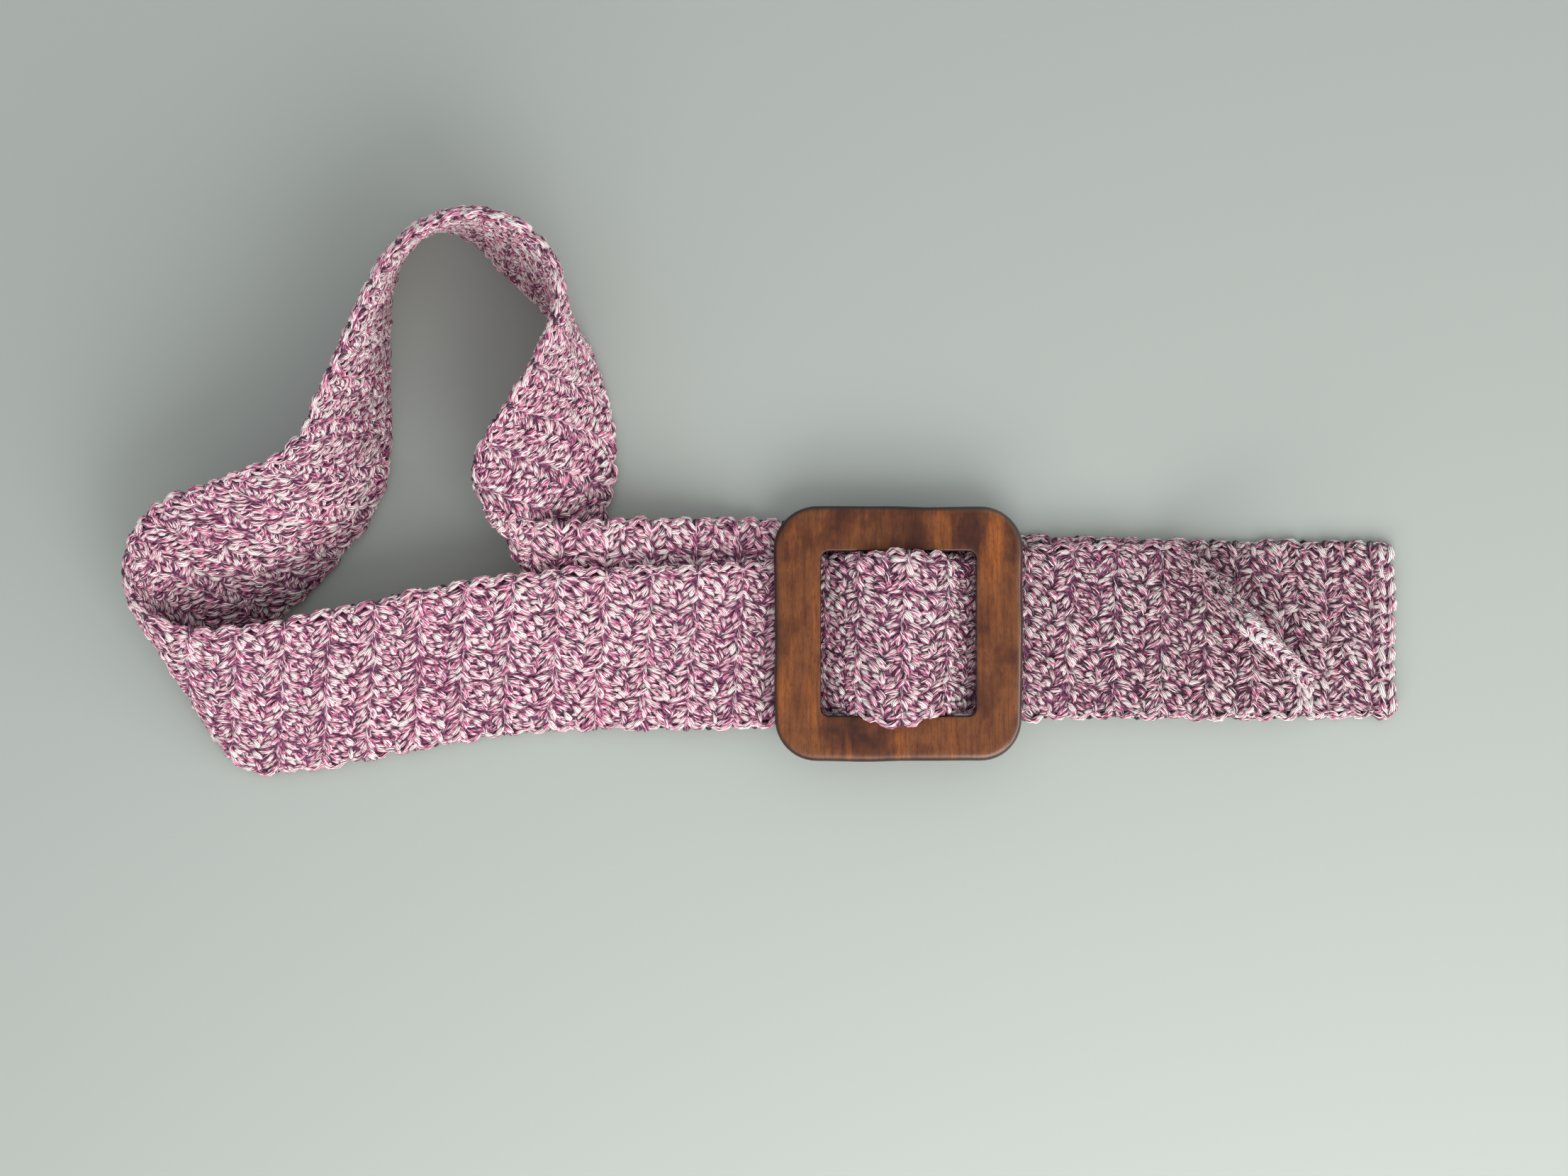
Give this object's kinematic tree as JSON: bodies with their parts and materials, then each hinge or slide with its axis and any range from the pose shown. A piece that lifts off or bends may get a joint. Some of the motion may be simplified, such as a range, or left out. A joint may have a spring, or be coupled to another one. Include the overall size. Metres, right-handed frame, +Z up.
{
  "type": "crochet belt",
  "caption": "Crocheted cotton waist belt laid in a loose loop, with a square wooden slide buckle closed near its ends.",
  "frame": {"origin": "middle of the bottom of the bounding box, on the table", "axes": "+X along the closed ends of the strap, towards the lower tip; +Y towards the far end of the loop; +Z up"},
  "size_m": [0.3882, 0.1726, 0.0547],
  "materials": {
    "yarn": "matte",
    "wood": "satin"
  },
  "bodies": {
    "root": {"strap": "yarn", "buckle": "wood"}
  },
  "joints": []
}
